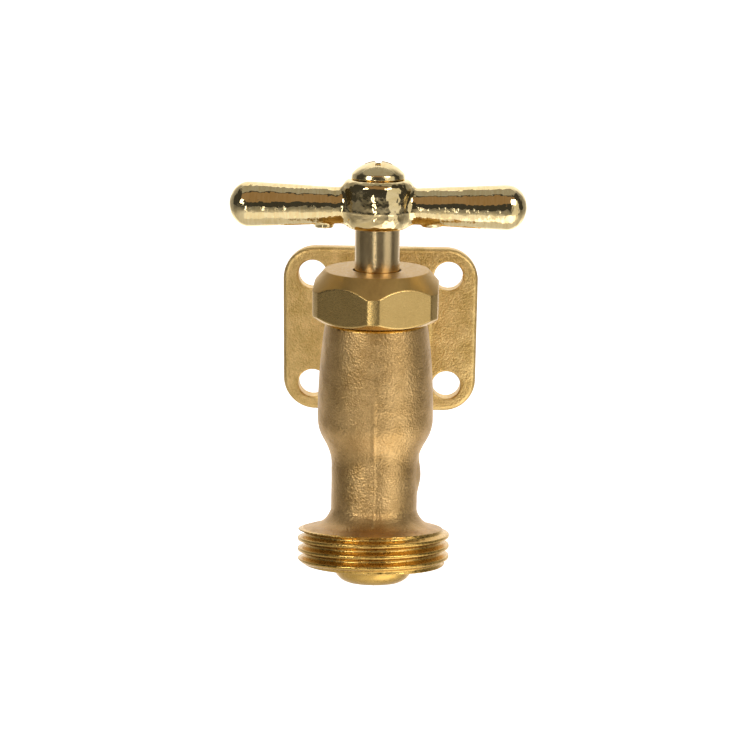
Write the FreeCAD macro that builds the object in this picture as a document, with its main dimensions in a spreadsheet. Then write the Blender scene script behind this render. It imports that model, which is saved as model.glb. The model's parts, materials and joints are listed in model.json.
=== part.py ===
import FreeCAD, Part
import math
import os
import re
import Sketcher

# Wall-mounted brass hose bib. Millimetres, +Z up, the wall on the +Y side.
# Every body is drawn about the stem axis, at the height of the flange centre, and its
# Placement then carries it to the frame whose origin is the middle of the flange's wall face.

SIZES = {
    # Wall flange
    "flange_width": 37.3,
    "flange_height": 32.0,
    "flange_thickness": 3.5,
    "flange_corner": 6.2,
    "flange_edge": 0.9,
    "bolt_spacing_x": 26.0,
    "bolt_spacing_z": 21.5,
    "bolt_hole_radius": 2.75,
    "stem_offset": 35.5,
    # Inlet: G 1/2 spigot, its bore and the cored passage to the valve chamber
    "spigot_radius": 10.4775,
    "spigot_length": 13.5,
    "spigot_shank": 1.5,
    "spigot_bore": 7.0,
    "barrel_radius": 9.0,
    "barrel_fillet": 1.2,
    "passage_radius": 4.9,
    "passage_drop": 1.9,
    # Shares of a pitch that a thread's groove has on each side of its middle, and the overcut
    "crest_share": 0.42,
    "root_share": 0.09,
    "thread_overcut": 0.2,
    # G thread form, shared by the inlet and the outlet
    "pipe_pitch": 1.814,
    "pipe_depth": 1.162,
    "crest_run_in": 0.02,
    # Body round the stem
    "neck_top": 12.9,
    "neck_radius": 8.0,
    "neck_relief": 7.3,
    "neck_pitch": 1.0,
    "neck_depth": 0.55,
    "shoulder_level": 8.9,
    "shoulder_radius": 8.72,
    "belly_radius": 10.05,
    "belly_curve": 112.0,
    "bend_level": 8.4,
    "bend_radius": 9.98,
    # Outlet, measured down its own tilted axis from the bend
    "outlet_tilt": 12.4,
    "belly_turn": 3.5,
    "belly_turn_radius": 9.04,
    "belly_turn_curve": 7.0,
    "waist_start": 4.4,
    "waist_start_radius": 8.52,
    "waist_end": 8.4,
    "waist_curve": 8.0,
    "outlet_neck_radius": 7.45,
    "flare_start": 15.9,
    "flare_curve": 3.9,
    "flare_radius": 10.9,
    "flare_end": 18.8,
    "rim_level": 19.45,
    "outlet_radius": 13.22,
    "outlet_chamfer": 24.5,
    "outlet_end": 25.5,
    "outlet_root": 12.06,
    "nose_radius": 6.9,
    "nose_length": 3.05,
    "nose_lip": 4.35,
    "nose_side": 0.4,
    "nose_curve": 3.2,
    "outlet_bore": 4.0,
    "pad_start": 6.4,
    "pad_end": 12.7,
    "pad_width": 5.0,
    "pad_reach": 8.05,
    # Valve chamber and seat pocket
    "chamber_radius": 6.9,
    "chamber_top": 2.4,
    "chamber_floor": 9.4,
    "seat_fit": 0.02,
    "seat_way": 4.3,
    "bore_start": 5.5,
    "seat_radius": 5.2,
    "seat_depth": 12.1,
    "seat_flange_radius": 5.9,
    "seat_hole": 3.7,
    "seat_bead": 8.6,
    # Stem and its lifting thread
    "stem_radius": 3.8,
    "lift_major": 6.25,
    "lift_depth": 1.0,
    "lift_pitch": 2.0,
    "lift_play": 0.1,
    "lift_bottom": 1.0,
    "lift_top": 7.6,
    "lift_cone": 0.5,
    "lift_bore_bottom": 3.2,
    "pivot_radius": 2.4,
    "pivot_end": 3.4,
    "pivot_groove": 1.9,
    "pivot_groove_bottom": 2.25,
    "pivot_groove_top": 1.45,
    "running_play": 0.05,
    "square_side": 5.2,
    "square_bottom": 25.4,
    "square_top": 31.4,
    # Disc holder, seat washer and its screw
    "holder_top": 0.6,
    "holder_boss": 4.3,
    "holder_skirt": 5.15,
    "holder_skirt_top": 4.9,
    "holder_rim": 7.4,
    "holder_roof": 5.9,
    "swivel_ring_radius": 3.25,
    "washer_radius": 4.7,
    "washer_gap": 0.02,
    "washer_screw_radius": 1.3,
    "washer_screw_head": 2.6,
    "washer_screw_head_height": 1.1,
    "washer_screw_tip": 4.3,
    "washer_screw_pitch": 0.6,
    "slot_width": 0.7,
    "slot_depth": 0.6,
    # Packing nut and what it holds
    "nut_flats": 21.0,
    "nut_radius": 11.55,
    "nut_bottom": 9.4,
    "nut_bottom_radius": 10.35,
    "nut_bottom_chamfer": 1.0,
    "nut_top": 17.7,
    "nut_top_radius": 8.9,
    "nut_cone_bottom": 14.65,
    "nut_hole": 4.1,
    "nut_turn": 2.0,
    "nut_step": 13.46,
    "nut_relief_length": 0.8,
    "nut_relief": 8.15,
    "nut_thread_play": 0.03,
    "nut_ceiling": 16.4,
    "packing_outer": 6.6,
    "packing_bottom": 13.4,
    "packing_top": 15.78,
    "packing_inner": 3.82,
    "washer_outer": 7.3,
    "ring_inner": 3.88,
    # Tee handle
    "hub_bottom": 24.8,
    "hub_top": 33.0,
    "hub_bottom_radius": 4.7,
    "hub_lower_radius": 5.6,
    "hub_radius": 6.0,
    "hub_middle": 29.4,
    "hub_upper_radius": 5.8,
    "hub_upper": 31.9,
    "hub_top_radius": 4.75,
    "hub_foot_height": 1.1,
    "hub_foot_curve": 1.7,
    "hub_lower_curve": 14.0,
    "hub_upper_curve": 24.0,
    "hub_brow_curve": 2.2,
    "hub_recess": 3.86,
    "socket_side": 5.26,
    "arm_level": 28.5,
    "arm_length": 25.0,
    "arm_round_start": 21.6,
    "arm_end_radius": 3.8,
    "arm_root_radius": 3.0,
    "arm_root": 5.0,
    "bump_place": 9.0,
    "bump_radius": 1.6,
    "bump_drop": 3.8,
    # Handle screw
    "screw_head_radius": 4.55,
    "screw_head_side": 1.1,
    "screw_head_height": 3.05,
    "screw_radius": 1.5,
    "screw_tip": 27.2,
    "tapped_hole_bottom": 26.4,
    "screw_hole": 1.7,
    "screw_pitch": 0.7,
    "recess_length": 4.4,
    "recess_width": 0.9,
    "recess_depth": 1.1,
}

LEFT = 1
RIGHT = -1

os.makedirs("parts", exist_ok=True)
doc = FreeCAD.newDocument("hose_bib")
sheet = doc.addObject("Spreadsheet::Sheet", "Sizes")
for row, (size_name, size) in enumerate(SIZES.items(), start=1):
    sheet.set("A%d" % row, size_name.replace("_", " "))
    sheet.set("B%d" % row, str(size))
    sheet.setAlias("B%d" % row, size_name)
doc.recompute()


def formula(text):
    """The text with each size name turned into a reference to the sheet."""
    def reference(word):
        return "Sizes." + word.group() if word.group() in SIZES else word.group()
    return re.sub(r"[a-z]\w*", reference, str(text))


def value(text):
    """What a formula of size names comes to, in millimetres."""
    return float(doc.getObject("Sizes").evalExpression(formula(text)))


def new_body(name):
    """An empty body whose origin is carried to the stem axis."""
    body = doc.addObject("PartDesign::Body", name)
    body.Label = name
    body.setExpression("Placement.Base.y", formula("-stem_offset"))
    return body


def new_sketch(body, name, role, across="0", up="0", out="0", tilt=False):
    """A sketch on one of the body's own planes, moved in it and leant to the outlet's axis."""
    sketch = body.newObject("Sketcher::SketchObject", name)
    origin_plane = next(item for item in body.Origin.OriginFeatures if item.Role == role)
    sketch.AttachmentSupport = [(origin_plane, "")]
    sketch.MapMode = "FlatFace"
    if tilt:
        lean = FreeCAD.Rotation(FreeCAD.Vector(0, 0, -1), SIZES["outlet_tilt"])
        sketch.AttachmentOffset = FreeCAD.Placement(FreeCAD.Vector(), lean)
        sketch.setExpression("AttachmentOffset.Rotation.Angle", formula("outlet_tilt"))
    sketch.setExpression("AttachmentOffset.Base.x", formula(across))
    sketch.setExpression("AttachmentOffset.Base.y", formula(up))
    sketch.setExpression("AttachmentOffset.Base.z", formula(out))
    return sketch


def bind(sketch, constraint, text):
    """Add a constraint and let the sheet drive its size."""
    index = sketch.addConstraint(constraint)
    sketch.setExpression("Constraints[%d]" % index, formula(text))


def fix_point(sketch, side, end, across, up):
    """Hold one end of a side at a place given by two formulas."""
    if str(across) == "0":
        sketch.addConstraint(Sketcher.Constraint("PointOnObject", side, end, -2))
    else:
        bind(sketch, Sketcher.Constraint("DistanceX", -1, 1, side, end, value(across)), across)
    if str(up) == "0":
        sketch.addConstraint(Sketcher.Constraint("PointOnObject", side, end, -1))
    else:
        bind(sketch, Sketcher.Constraint("DistanceY", -1, 1, side, end, value(up)), up)


def arc_between(start, end, radius, turn):
    """The short arc from start to end that turns left or right."""
    chord = end - start
    reach = math.sqrt(radius ** 2 - (chord.Length / 2) ** 2)
    normal = FreeCAD.Vector(-chord.y, chord.x, 0).normalize()
    centre = start + chord * 0.5 + normal * reach * turn
    first, last = (start, end) if turn == LEFT else (end, start)
    angles = [math.atan2(spot.y - centre.y, spot.x - centre.x) for spot in (first, last)]
    circle = Part.Circle(centre, FreeCAD.Vector(0, 0, 1), radius)
    return Part.ArcOfCircle(circle, angles[0], angles[1])


def outline(sketch, corners):
    """A closed outline. A corner is (across, up), or (across, up, radius, turn) before an arc."""
    spots = [FreeCAD.Vector(value(corner[0]), value(corner[1]), 0) for corner in corners]
    ends = []
    for index, corner in enumerate(corners):
        start = spots[index]
        end = spots[(index + 1) % len(spots)]
        if len(corner) == 4:
            sketch.addGeometry(arc_between(start, end, value(corner[2]), corner[3]), False)
            bind(sketch, Sketcher.Constraint("Radius", index, value(corner[2])), corner[2])
            ends.append((1, 2) if corner[3] == LEFT else (2, 1))
        else:
            sketch.addGeometry(Part.LineSegment(start, end), False)
            ends.append((1, 2))
    for index, corner in enumerate(corners):
        after = (index + 1) % len(corners)
        join = Sketcher.Constraint("Coincident", index, ends[index][1], after, ends[after][0])
        sketch.addConstraint(join)
        fix_point(sketch, index, ends[index][0], corner[0], corner[1])


def circles(sketch, radius, places):
    """Round outlines of one radius at the places given."""
    for index, (across, up) in enumerate(places):
        centre = FreeCAD.Vector(value(across), value(up), 0)
        circle = Part.Circle(centre, FreeCAD.Vector(0, 0, 1), value(radius))
        sketch.addGeometry(circle, False)
        bind(sketch, Sketcher.Constraint("Radius", index, value(radius)), radius)
        fix_point(sketch, index, 3, across, up)


def rectangle(sketch, left, right, low, high):
    """A rectangle between two sides and two levels."""
    outline(sketch, [(left, low), (right, low), (right, high), (left, high)])


def add_feature(body, kind, name, profile, settings, sizes):
    """Make a feature from a sketch and stop if it leaves the body's volume as it was."""
    before = body.Shape.Volume if body.Tip else 0.0
    feature = body.newObject(kind, name)
    feature.Profile = profile
    for setting, content in settings.items():
        setattr(feature, setting, content)
    for setting, text in sizes.items():
        feature.setExpression(setting, formula(text))
    doc.recompute()
    change = body.Shape.Volume - before
    if abs(change) < 0.01:
        raise RuntimeError("%s leaves %s unchanged" % (name, body.Name))


def turn_about(body, name, corners, cut=False, axis="V_Axis", role="XZ_Plane", **place):
    """Turn an outline about an axis of its sketch, as material or as a cut."""
    profile = new_sketch(body, name + "_outline", role, **place)
    outline(profile, corners)
    kind = "PartDesign::Groove" if cut else "PartDesign::Revolution"
    add_feature(body, kind, name, profile, {"ReferenceAxis": (profile, [axis]), "Angle": 360}, {})


def extrude(body, name, profile, length, cut=False):
    """Push a sketch out along its normal, as material or as a cut."""
    kind = "PartDesign::Pocket" if cut else "PartDesign::Pad"
    add_feature(body, kind, name, profile, {"Reversed": cut}, {"Length": length})


def cut_thread(body, name, crest, root, pitch, start, height, axis="V_Axis", role="XZ_Plane",
               play="0", **place):
    """A right-hand helical groove between a crest radius and a root radius."""
    outward = "thread_overcut" if value(crest) > value(root) else "-thread_overcut"
    crest_edge = "(%s) + %s" % (crest, outward)
    crest_half = "(%s * crest_share + thread_overcut * 0.3 + %s)" % (pitch, play)
    root_half = "(%s * root_share + %s)" % (pitch, play)
    corners = [
        (crest_edge, "%s - %s" % (start, crest_half)),
        (root, "%s - %s" % (start, root_half)),
        (root, "%s + %s" % (start, root_half)),
        (crest_edge, "%s + %s" % (start, crest_half)),
    ]
    if axis == "H_Axis":
        corners = [(along, away) for away, along in corners]
    profile = new_sketch(body, name + "_outline", role, **place)
    outline(profile, corners)
    settings = {"ReferenceAxis": (profile, [axis]), "Mode": 0, "LeftHanded": False}
    sizes = {"Pitch": pitch, "Height": height}
    add_feature(body, "PartDesign::SubtractiveHelix", name, profile, settings, sizes)


def round_edges(body, name, radius, chosen):
    """Round the edges of the body's last feature that pass a test."""
    base = body.Tip
    edges = ["Edge%d" % (index + 1) for index, edge in enumerate(base.Shape.Edges) if chosen(edge)]
    feature = body.newObject("PartDesign::Fillet", name)
    feature.Base = (base, edges)
    feature.setExpression("Radius", formula(radius))
    doc.recompute()
    return feature


def add_flange(body):
    """Four-hole wall flange with round corners and softened front edges."""
    half_width = "flange_width / 2"
    half_height = "flange_height / 2"
    plate = new_sketch(body, "flange_outline", "XZ_Plane", out="-stem_offset")
    rectangle(plate, "-" + half_width, half_width, "-" + half_height, half_height)
    extrude(body, "flange", plate, "flange_thickness")

    def is_corner(edge):
        spread = edge.BoundBox
        return spread.YLength > spread.XLength + spread.ZLength

    def is_front(edge):
        return edge.BoundBox.YMax < value("stem_offset - flange_thickness") + 0.01

    round_edges(body, "flange_corners", "flange_corner", is_corner)
    round_edges(body, "flange_front", "flange_edge", is_front)


def add_inlet(body):
    """Barrel between the flange and the valve, and the threaded spigot behind the flange."""
    front = "stem_offset - flange_thickness"
    spigot_end = "stem_offset + spigot_length"
    turn_about(body, "barrel", [
        ("0", "0"),
        ("0.5", "barrel_radius"),
        (front + " - barrel_fillet", "barrel_radius", "barrel_fillet", LEFT),
        (front, "barrel_radius + barrel_fillet"),
        ("stem_offset - 1", "barrel_radius + barrel_fillet"),
        ("stem_offset - 1", "spigot_radius"),
        ("stem_offset + spigot_shank", "spigot_radius"),
        (spigot_end + " - pipe_depth", "spigot_radius - crest_run_in"),
        (spigot_end, "spigot_radius - pipe_depth"),
        (spigot_end, "0"),
    ], axis="H_Axis", role="YZ_Plane")


def add_upright(body):
    """Upright part round the stem: threaded neck, relief, shoulder and belly."""
    turn_about(body, "upright", [
        ("0", "-bend_level"),
        ("belly_radius", "-bend_level", "belly_curve", LEFT),
        ("shoulder_radius", "shoulder_level - 0.3"),
        ("shoulder_radius - 0.3", "shoulder_level"),
        ("neck_relief", "shoulder_level"),
        ("neck_relief", "nut_bottom + 0.2"),
        ("neck_radius", "nut_bottom + 0.7"),
        ("neck_radius", "neck_top - 0.5"),
        ("neck_radius - 0.5", "neck_top"),
        ("0", "neck_top"),
    ])


def add_outlet(body):
    """Leaning outlet: bend, waist, flared shoulder, hose-thread blank and nose."""
    nose_end = "-outlet_end - nose_length"
    turn_about(body, "outlet", [
        ("0", "bend_radius", "bend_radius", RIGHT),
        ("bend_radius", "0", "belly_turn_curve", RIGHT),
        ("belly_turn_radius", "-belly_turn"),
        ("waist_start_radius", "-waist_start", "waist_curve", LEFT),
        ("outlet_neck_radius", "-waist_end"),
        ("outlet_neck_radius", "-flare_start", "flare_curve", LEFT),
        ("flare_radius", "-flare_end"),
        ("outlet_radius", "-rim_level"),
        ("outlet_radius - crest_run_in", "-outlet_chamfer"),
        ("outlet_root", "-outlet_end"),
        ("nose_radius", "-outlet_end"),
        ("nose_radius", "-outlet_end - nose_side", "nose_curve", RIGHT),
        ("nose_lip", nose_end),
        ("0", nose_end),
    ], role="YZ_Plane", up="-bend_level", tilt=True)
    pad = new_sketch(body, "blank_pad_outline", "YZ_Plane", up="-bend_level", tilt=True)
    rectangle(pad, "-pad_width / 2", "pad_width / 2", "-pad_end", "-pad_start")
    extrude(body, "blank_pad", pad, "pad_reach")


def cut_waterway(body):
    """Inlet bore and passage, valve chamber with seat pocket, and outlet bore."""
    turn_about(body, "inlet_bore", [
        ("stem_offset - flange_thickness + 1", "0"),
        ("stem_offset - flange_thickness + 1", "spigot_bore"),
        ("stem_offset + spigot_length + 1", "spigot_bore"),
        ("stem_offset + spigot_length + 1", "0"),
    ], cut=True, axis="H_Axis", role="YZ_Plane")
    turn_about(body, "passage", [
        ("0", "0"),
        ("0", "passage_radius"),
        ("stem_offset", "passage_radius"),
        ("stem_offset", "0"),
    ], cut=True, axis="H_Axis", role="YZ_Plane", up="-passage_drop")
    thread_minor = "lift_major - lift_depth + lift_play"
    turn_about(body, "chamber", [
        ("0", "neck_top + 1"),
        ("lift_major + lift_play + 1", "neck_top + 1"),
        (thread_minor, "neck_top - 1"),
        (thread_minor, "lift_bore_bottom"),
        ("chamber_radius", "chamber_top"),
        ("chamber_radius", "-chamber_floor"),
        ("seat_radius + seat_fit", "-chamber_floor"),
        ("seat_radius + seat_fit", "-seat_depth - seat_fit"),
        ("seat_way", "-seat_depth - seat_fit"),
        ("seat_way", "-seat_depth - 2"),
        ("0", "-seat_depth - 2"),
    ], cut=True)
    turn_about(body, "outlet_bore_cut", [
        ("0", "-outlet_end - nose_length - 1"),
        ("outlet_bore", "-outlet_end - nose_length - 1"),
        ("outlet_bore", "-bore_start"),
        ("0", "-bore_start"),
    ], cut=True, role="YZ_Plane", up="-bend_level", tilt=True)


def cut_bolt_holes(body):
    """The four wall-screw holes."""
    holes = new_sketch(body, "bolt_hole_outline", "XZ_Plane", out="-stem_offset - 1")
    half_x = "bolt_spacing_x / 2"
    half_z = "bolt_spacing_z / 2"
    circles(holes, "bolt_hole_radius", [
        ("-" + half_x, "-" + half_z),
        (half_x, "-" + half_z),
        (half_x, half_z),
        ("-" + half_x, half_z),
    ])
    extrude(body, "bolt_holes", holes, "flange_thickness + 2", cut=True)


def build_valve_body():
    """The cast body in one piece, flange and spigot included."""
    body = new_body("valve_body")
    add_flange(body)
    add_inlet(body)
    add_upright(body)
    add_outlet(body)
    cut_waterway(body)
    cut_bolt_holes(body)
    lift_minor = "(lift_major - lift_depth + lift_play)"
    cut_thread(body, "stem_thread", lift_minor, "(lift_major + lift_play)", "lift_pitch",
               "(lift_bottom + lift_pitch / 2)", "lift_pitch * 7", play="lift_play")
    cut_thread(body, "neck_thread", "neck_radius", "(neck_radius - neck_depth)", "neck_pitch",
               "(nut_bottom + 0.2)", "neck_pitch * 5")
    cut_thread(body, "spigot_thread", "spigot_radius", "(spigot_radius - pipe_depth)", "pipe_pitch",
               "(stem_offset + spigot_shank + pipe_pitch * 0.6)", "spigot_length",
               axis="H_Axis", role="YZ_Plane")
    cut_thread(body, "outlet_thread", "outlet_radius", "(outlet_radius - pipe_depth)", "pipe_pitch",
               "(-outlet_end - pipe_pitch * 0.3)", "pipe_pitch * 4.1",
               role="YZ_Plane", up="-bend_level", tilt=True)


def build_valve_seat():
    """Renewable seat ring pressed into the body, with a raised sealing bead."""
    body = new_body("valve_seat")
    turn_about(body, "ring", [
        ("seat_hole", "-seat_depth"),
        ("seat_radius", "-seat_depth"),
        ("seat_radius", "-chamber_floor + seat_fit"),
        ("seat_flange_radius", "-chamber_floor + seat_fit"),
        ("seat_flange_radius", "-seat_bead - 0.4"),
        ("seat_hole + 0.9", "-seat_bead - 0.3"),
        ("seat_hole + 0.6", "-seat_bead"),
        ("seat_hole + 0.3", "-seat_bead"),
        ("seat_hole", "-seat_bead - 0.3"),
    ])


def build_packing_nut():
    """Hexagon nut with turned corners, a coned top and a threaded skirt."""
    body = new_body("packing_nut")
    body.Placement = FreeCAD.Placement(FreeCAD.Vector(), FreeCAD.Rotation(FreeCAD.Vector(0, 0, -1), 2))
    body.setExpression("Placement.Rotation.Angle", formula("nut_turn"))
    hexagon = new_sketch(body, "hexagon_outline", "XY_Plane", out="nut_bottom")
    corner_reach = "nut_flats / 2 / cos(30 deg)"
    half_side = "(nut_flats / 2 * tan(30 deg))"
    outline(hexagon, [
        ("0", "-" + corner_reach),
        ("nut_flats / 2", "-" + half_side),
        ("nut_flats / 2", half_side),
        ("0", corner_reach),
        ("-nut_flats / 2", half_side),
        ("-nut_flats / 2", "-" + half_side),
    ])
    extrude(body, "hexagon", hexagon, "nut_top - nut_bottom")
    turn_about(body, "turned_outside", [
        ("nut_bottom_radius", "nut_bottom"),
        ("nut_radius", "nut_bottom + nut_bottom_chamfer"),
        ("nut_radius", "nut_cone_bottom"),
        ("nut_top_radius", "nut_top"),
        ("nut_top_radius", "nut_top + 1"),
        ("nut_radius + 2", "nut_top + 1"),
        ("nut_radius + 2", "nut_bottom - 1"),
        ("nut_bottom_radius", "nut_bottom - 1"),
    ], cut=True)
    thread_minor = "(neck_radius - neck_depth + 0.1)"
    turn_about(body, "inside", [
        ("0", "nut_bottom - 1"),
        ("neck_radius + 0.9", "nut_bottom - 1"),
        (thread_minor, "nut_bottom + 0.6"),
        (thread_minor, "neck_top - nut_relief_length"),
        ("nut_relief", "neck_top - nut_relief_length"),
        ("nut_relief", "nut_step"),
        ("packing_outer + seat_fit", "nut_step"),
        ("packing_outer + seat_fit", "nut_ceiling"),
        ("nut_hole", "nut_ceiling"),
        ("nut_hole", "nut_top + 1"),
        ("0", "nut_top + 1"),
    ], cut=True)
    cut_thread(body, "nut_thread", thread_minor, "(neck_radius + 0.1)", "neck_pitch",
               "(nut_bottom - 0.3)", "neck_pitch * 3.4", play="nut_thread_play")


def build_ring(name, inner, outer, low, high):
    """A plain ring round the stem."""
    body = new_body(name)
    rim = "(%s)" % outer
    turn_about(body, "ring", [
        (inner, low),
        (rim + " - 0.15", low),
        (rim, low + " + 0.15"),
        (rim, high + " - 0.15"),
        (rim + " - 0.15", high),
        (inner, high),
    ])


def build_stem():
    """Stem with lifting thread, swivel pivot below and a squared, tapped top."""
    body = new_body("stem")
    thread_minor = "lift_major - lift_depth"
    turn_about(body, "shaft", [
        ("0", "-pivot_end"),
        ("pivot_radius - 0.3", "-pivot_end"),
        ("pivot_radius", "-pivot_end + 0.3"),
        ("pivot_radius", "-pivot_groove_bottom"),
        ("pivot_groove", "-pivot_groove_bottom"),
        ("pivot_groove", "-pivot_groove_top"),
        ("pivot_radius", "-pivot_groove_top"),
        ("pivot_radius", "lift_bottom"),
        (thread_minor, "lift_bottom"),
        ("lift_major", "lift_bottom + 0.8"),
        ("lift_major", "lift_top - 0.6"),
        (thread_minor, "lift_top"),
        ("stem_radius", "lift_top + lift_cone"),
        ("stem_radius", "square_bottom"),
        ("0", "square_bottom"),
    ])
    square = new_sketch(body, "square_outline", "XY_Plane", out="square_bottom")
    rectangle(square, "-square_side / 2", "square_side / 2", "-square_side / 2", "square_side / 2")
    extrude(body, "square", square, "square_top - square_bottom")
    turn_about(body, "tapped_hole", [
        ("0", "tapped_hole_bottom"),
        ("screw_radius + running_play", "tapped_hole_bottom + 0.4"),
        ("screw_radius + running_play", "square_top + 1"),
        ("0", "square_top + 1"),
    ], cut=True)
    cut_thread(body, "lift_thread", "lift_major", "(lift_major - lift_depth)", "lift_pitch",
               "(lift_bottom - lift_pitch)", "lift_pitch * 5.5")


def build_swivel_ring():
    """Split ring in the pivot groove that lifts the disc holder."""
    body = new_body("swivel_ring")
    turn_about(body, "ring", [
        ("pivot_groove + running_play", "-pivot_groove_bottom + running_play"),
        ("swivel_ring_radius", "-pivot_groove_bottom + running_play"),
        ("swivel_ring_radius", "-pivot_groove_top - running_play"),
        ("pivot_groove + running_play", "-pivot_groove_top - running_play"),
    ])
    split = new_sketch(body, "split_outline", "XY_Plane", out="-pivot_groove_bottom - 1")
    rectangle(split, "-0.5", "0.5", "pivot_groove - 1", "pivot_radius + 2")
    extrude(body, "split", split, "pivot_groove_bottom + 1", cut=True)


def build_disc_holder():
    """Holder that swivels on the pivot and carries the seat washer in its cup."""
    body = new_body("disc_holder")
    socket = "pivot_radius + running_play"
    ring_room = "swivel_ring_radius + running_play"
    turn_about(body, "holder", [
        ("0", "-pivot_end - running_play"),
        (socket, "-pivot_end - running_play"),
        (socket, "-pivot_groove_bottom"),
        (ring_room, "-pivot_groove_bottom"),
        (ring_room, "-pivot_groove_top"),
        (socket, "-pivot_groove_top"),
        (socket, "-holder_top"),
        ("holder_boss - 0.4", "-holder_top"),
        ("holder_boss", "-holder_top - 0.4"),
        ("holder_boss", "-holder_skirt_top + 0.5"),
        ("holder_skirt", "-holder_skirt_top"),
        ("holder_skirt", "-holder_rim"),
        ("washer_radius + running_play", "-holder_rim"),
        ("washer_radius + running_play", "-holder_roof"),
        ("washer_screw_radius + running_play", "-holder_roof"),
        ("washer_screw_radius + running_play", "-washer_screw_tip + 0.2"),
        ("0", "-washer_screw_tip + 0.2"),
    ])


def build_seat_washer():
    """Rubber washer that closes on the seat's bead."""
    body = new_body("seat_washer")
    low = "-seat_bead + washer_gap"
    high = "-holder_roof - washer_gap"
    turn_about(body, "disc", [
        ("washer_screw_radius + running_play", low),
        ("washer_radius - 0.4", low),
        ("washer_radius", low + " + 0.4"),
        ("washer_radius", high),
        ("washer_screw_radius + running_play", high),
    ])


def build_washer_screw():
    """Slotted screw that holds the washer in the holder."""
    body = new_body("washer_screw")
    head_top = "-seat_bead"
    turn_about(body, "screw", [
        ("0", "-seat_bead - washer_screw_head_height"),
        ("washer_screw_head - 0.5", "-seat_bead - washer_screw_head_height"),
        ("washer_screw_head", "-seat_bead - 0.5"),
        ("washer_screw_head", head_top),
        ("washer_screw_radius", head_top),
        ("washer_screw_radius", "-washer_screw_tip - 0.3"),
        ("washer_screw_radius - 0.3", "-washer_screw_tip"),
        ("0", "-washer_screw_tip"),
    ])
    slot = new_sketch(body, "slot_outline", "XY_Plane", out="-seat_bead - washer_screw_head_height")
    rectangle(slot, "-washer_screw_head - 1", "washer_screw_head + 1", "-slot_width / 2", "slot_width / 2")
    extrude(body, "slot", slot, "slot_depth", cut=True)
    cut_thread(body, "screw_thread", "washer_screw_radius", "(washer_screw_radius - 0.3)",
               "washer_screw_pitch", "(-holder_roof - 0.3)", "washer_screw_pitch * 4")


def build_tee_handle():
    """Cast tee handle: barrel hub, two tapered arms, ejector marks and a square socket."""
    body = new_body("tee_handle")
    turn_about(body, "hub", [
        ("0", "hub_bottom"),
        ("hub_bottom_radius", "hub_bottom", "hub_foot_curve", LEFT),
        ("hub_lower_radius", "hub_bottom + hub_foot_height", "hub_lower_curve", LEFT),
        ("hub_radius", "hub_middle", "hub_upper_curve", LEFT),
        ("hub_upper_radius", "hub_upper", "hub_brow_curve", LEFT),
        ("hub_top_radius", "hub_top"),
        ("0", "hub_top"),
    ])
    end_curve = "((arm_length - arm_round_start) ^ 2 + arm_end_radius ^ 2)"
    end_radius = "(%s / (2 * (arm_length - arm_round_start)))" % end_curve
    turn_about(body, "arms", [
        ("-arm_length", "0", end_radius, RIGHT),
        ("-arm_round_start", "arm_end_radius"),
        ("-arm_root", "arm_root_radius"),
        ("arm_root", "arm_root_radius"),
        ("arm_round_start", "arm_end_radius", end_radius, RIGHT),
        ("arm_length", "0"),
    ], axis="H_Axis", up="arm_level")
    bumps = new_sketch(body, "bump_outline", "XY_Plane", out="arm_level - bump_drop")
    circles(bumps, "bump_radius", [("-bump_place", "0"), ("bump_place", "0")])
    extrude(body, "bumps", bumps, "bump_drop")
    turn_about(body, "bore", [
        ("0", "hub_bottom - 1"),
        ("hub_recess", "hub_bottom - 1"),
        ("hub_recess", "square_bottom + seat_fit"),
        ("screw_hole", "square_bottom + seat_fit"),
        ("screw_hole", "hub_top + 1"),
        ("0", "hub_top + 1"),
    ], cut=True)
    socket = new_sketch(body, "socket_outline", "XY_Plane", out="hub_bottom")
    rectangle(socket, "-socket_side / 2", "socket_side / 2", "-socket_side / 2", "socket_side / 2")
    extrude(body, "socket", socket, "square_top - hub_bottom + 0.1", cut=True)


def build_handle_screw():
    """Dome-headed screw that holds the handle, with a cross recess."""
    body = new_body("handle_screw")
    side_top = "hub_top + seat_fit + screw_head_side"
    rise = "(screw_head_height - screw_head_side)"
    dome = "((screw_head_radius ^ 2 + %s ^ 2) / (2 * %s))" % (rise, rise)
    turn_about(body, "screw", [
        ("0", "screw_tip"),
        ("screw_radius - 0.4", "screw_tip"),
        ("screw_radius", "screw_tip + 0.4"),
        ("screw_radius", "hub_top + seat_fit"),
        ("screw_head_radius - 0.2", "hub_top + seat_fit"),
        ("screw_head_radius", "hub_top + seat_fit + 0.2"),
        ("screw_head_radius", side_top, dome, LEFT),
        ("0", "hub_top + seat_fit + screw_head_height"),
    ])
    recess_floor = "hub_top + screw_head_height - recess_depth"
    recess = new_sketch(body, "recess_outline", "XY_Plane", out=recess_floor)
    long_half = "recess_length / 2"
    short_half = "recess_width / 2"
    outline(recess, [
        ("-" + short_half, "-" + long_half),
        (short_half, "-" + long_half),
        (short_half, "-" + short_half),
        (long_half, "-" + short_half),
        (long_half, short_half),
        (short_half, short_half),
        (short_half, long_half),
        ("-" + short_half, long_half),
        ("-" + short_half, short_half),
        ("-" + long_half, short_half),
        ("-" + long_half, "-" + short_half),
        ("-" + short_half, "-" + short_half),
    ])
    extrude(body, "recess", recess, "recess_depth + 1", cut=True)
    cut_thread(body, "screw_thread", "screw_radius", "(screw_radius - screw_pitch / 2)", "screw_pitch",
               "(screw_tip - 0.5)", "screw_pitch * 6")


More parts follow.
